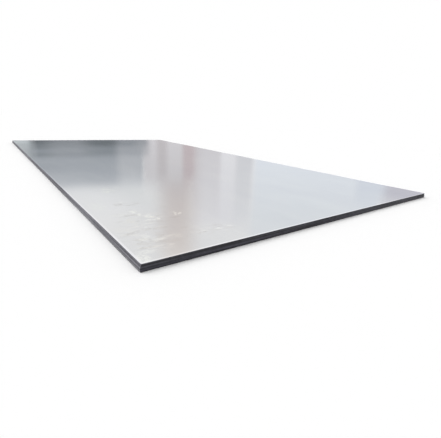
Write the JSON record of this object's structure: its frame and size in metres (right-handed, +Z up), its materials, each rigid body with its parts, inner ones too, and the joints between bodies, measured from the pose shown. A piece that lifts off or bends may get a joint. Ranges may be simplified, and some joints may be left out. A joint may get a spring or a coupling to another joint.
{
  "type": "steel plate",
  "caption": "Flat rectangular plate of bare steel with a smooth satin rolled face and sheared square edges, raw stock to be cut, bent, welded or bolted.",
  "frame": {"origin": "middle of the plate's underside", "axes": "+X across the plate's width, +Y along its length, +Z up through its thickness to the top face"},
  "size_m": [1.25, 2.5, 0.018],
  "materials": {
    "steel": "bare rolled steel, smooth and satin on the faces, dark and torn on the sheared edges"
  },
  "bodies": {
    "root": {"steel_plate": "steel"}
  },
  "joints": []
}
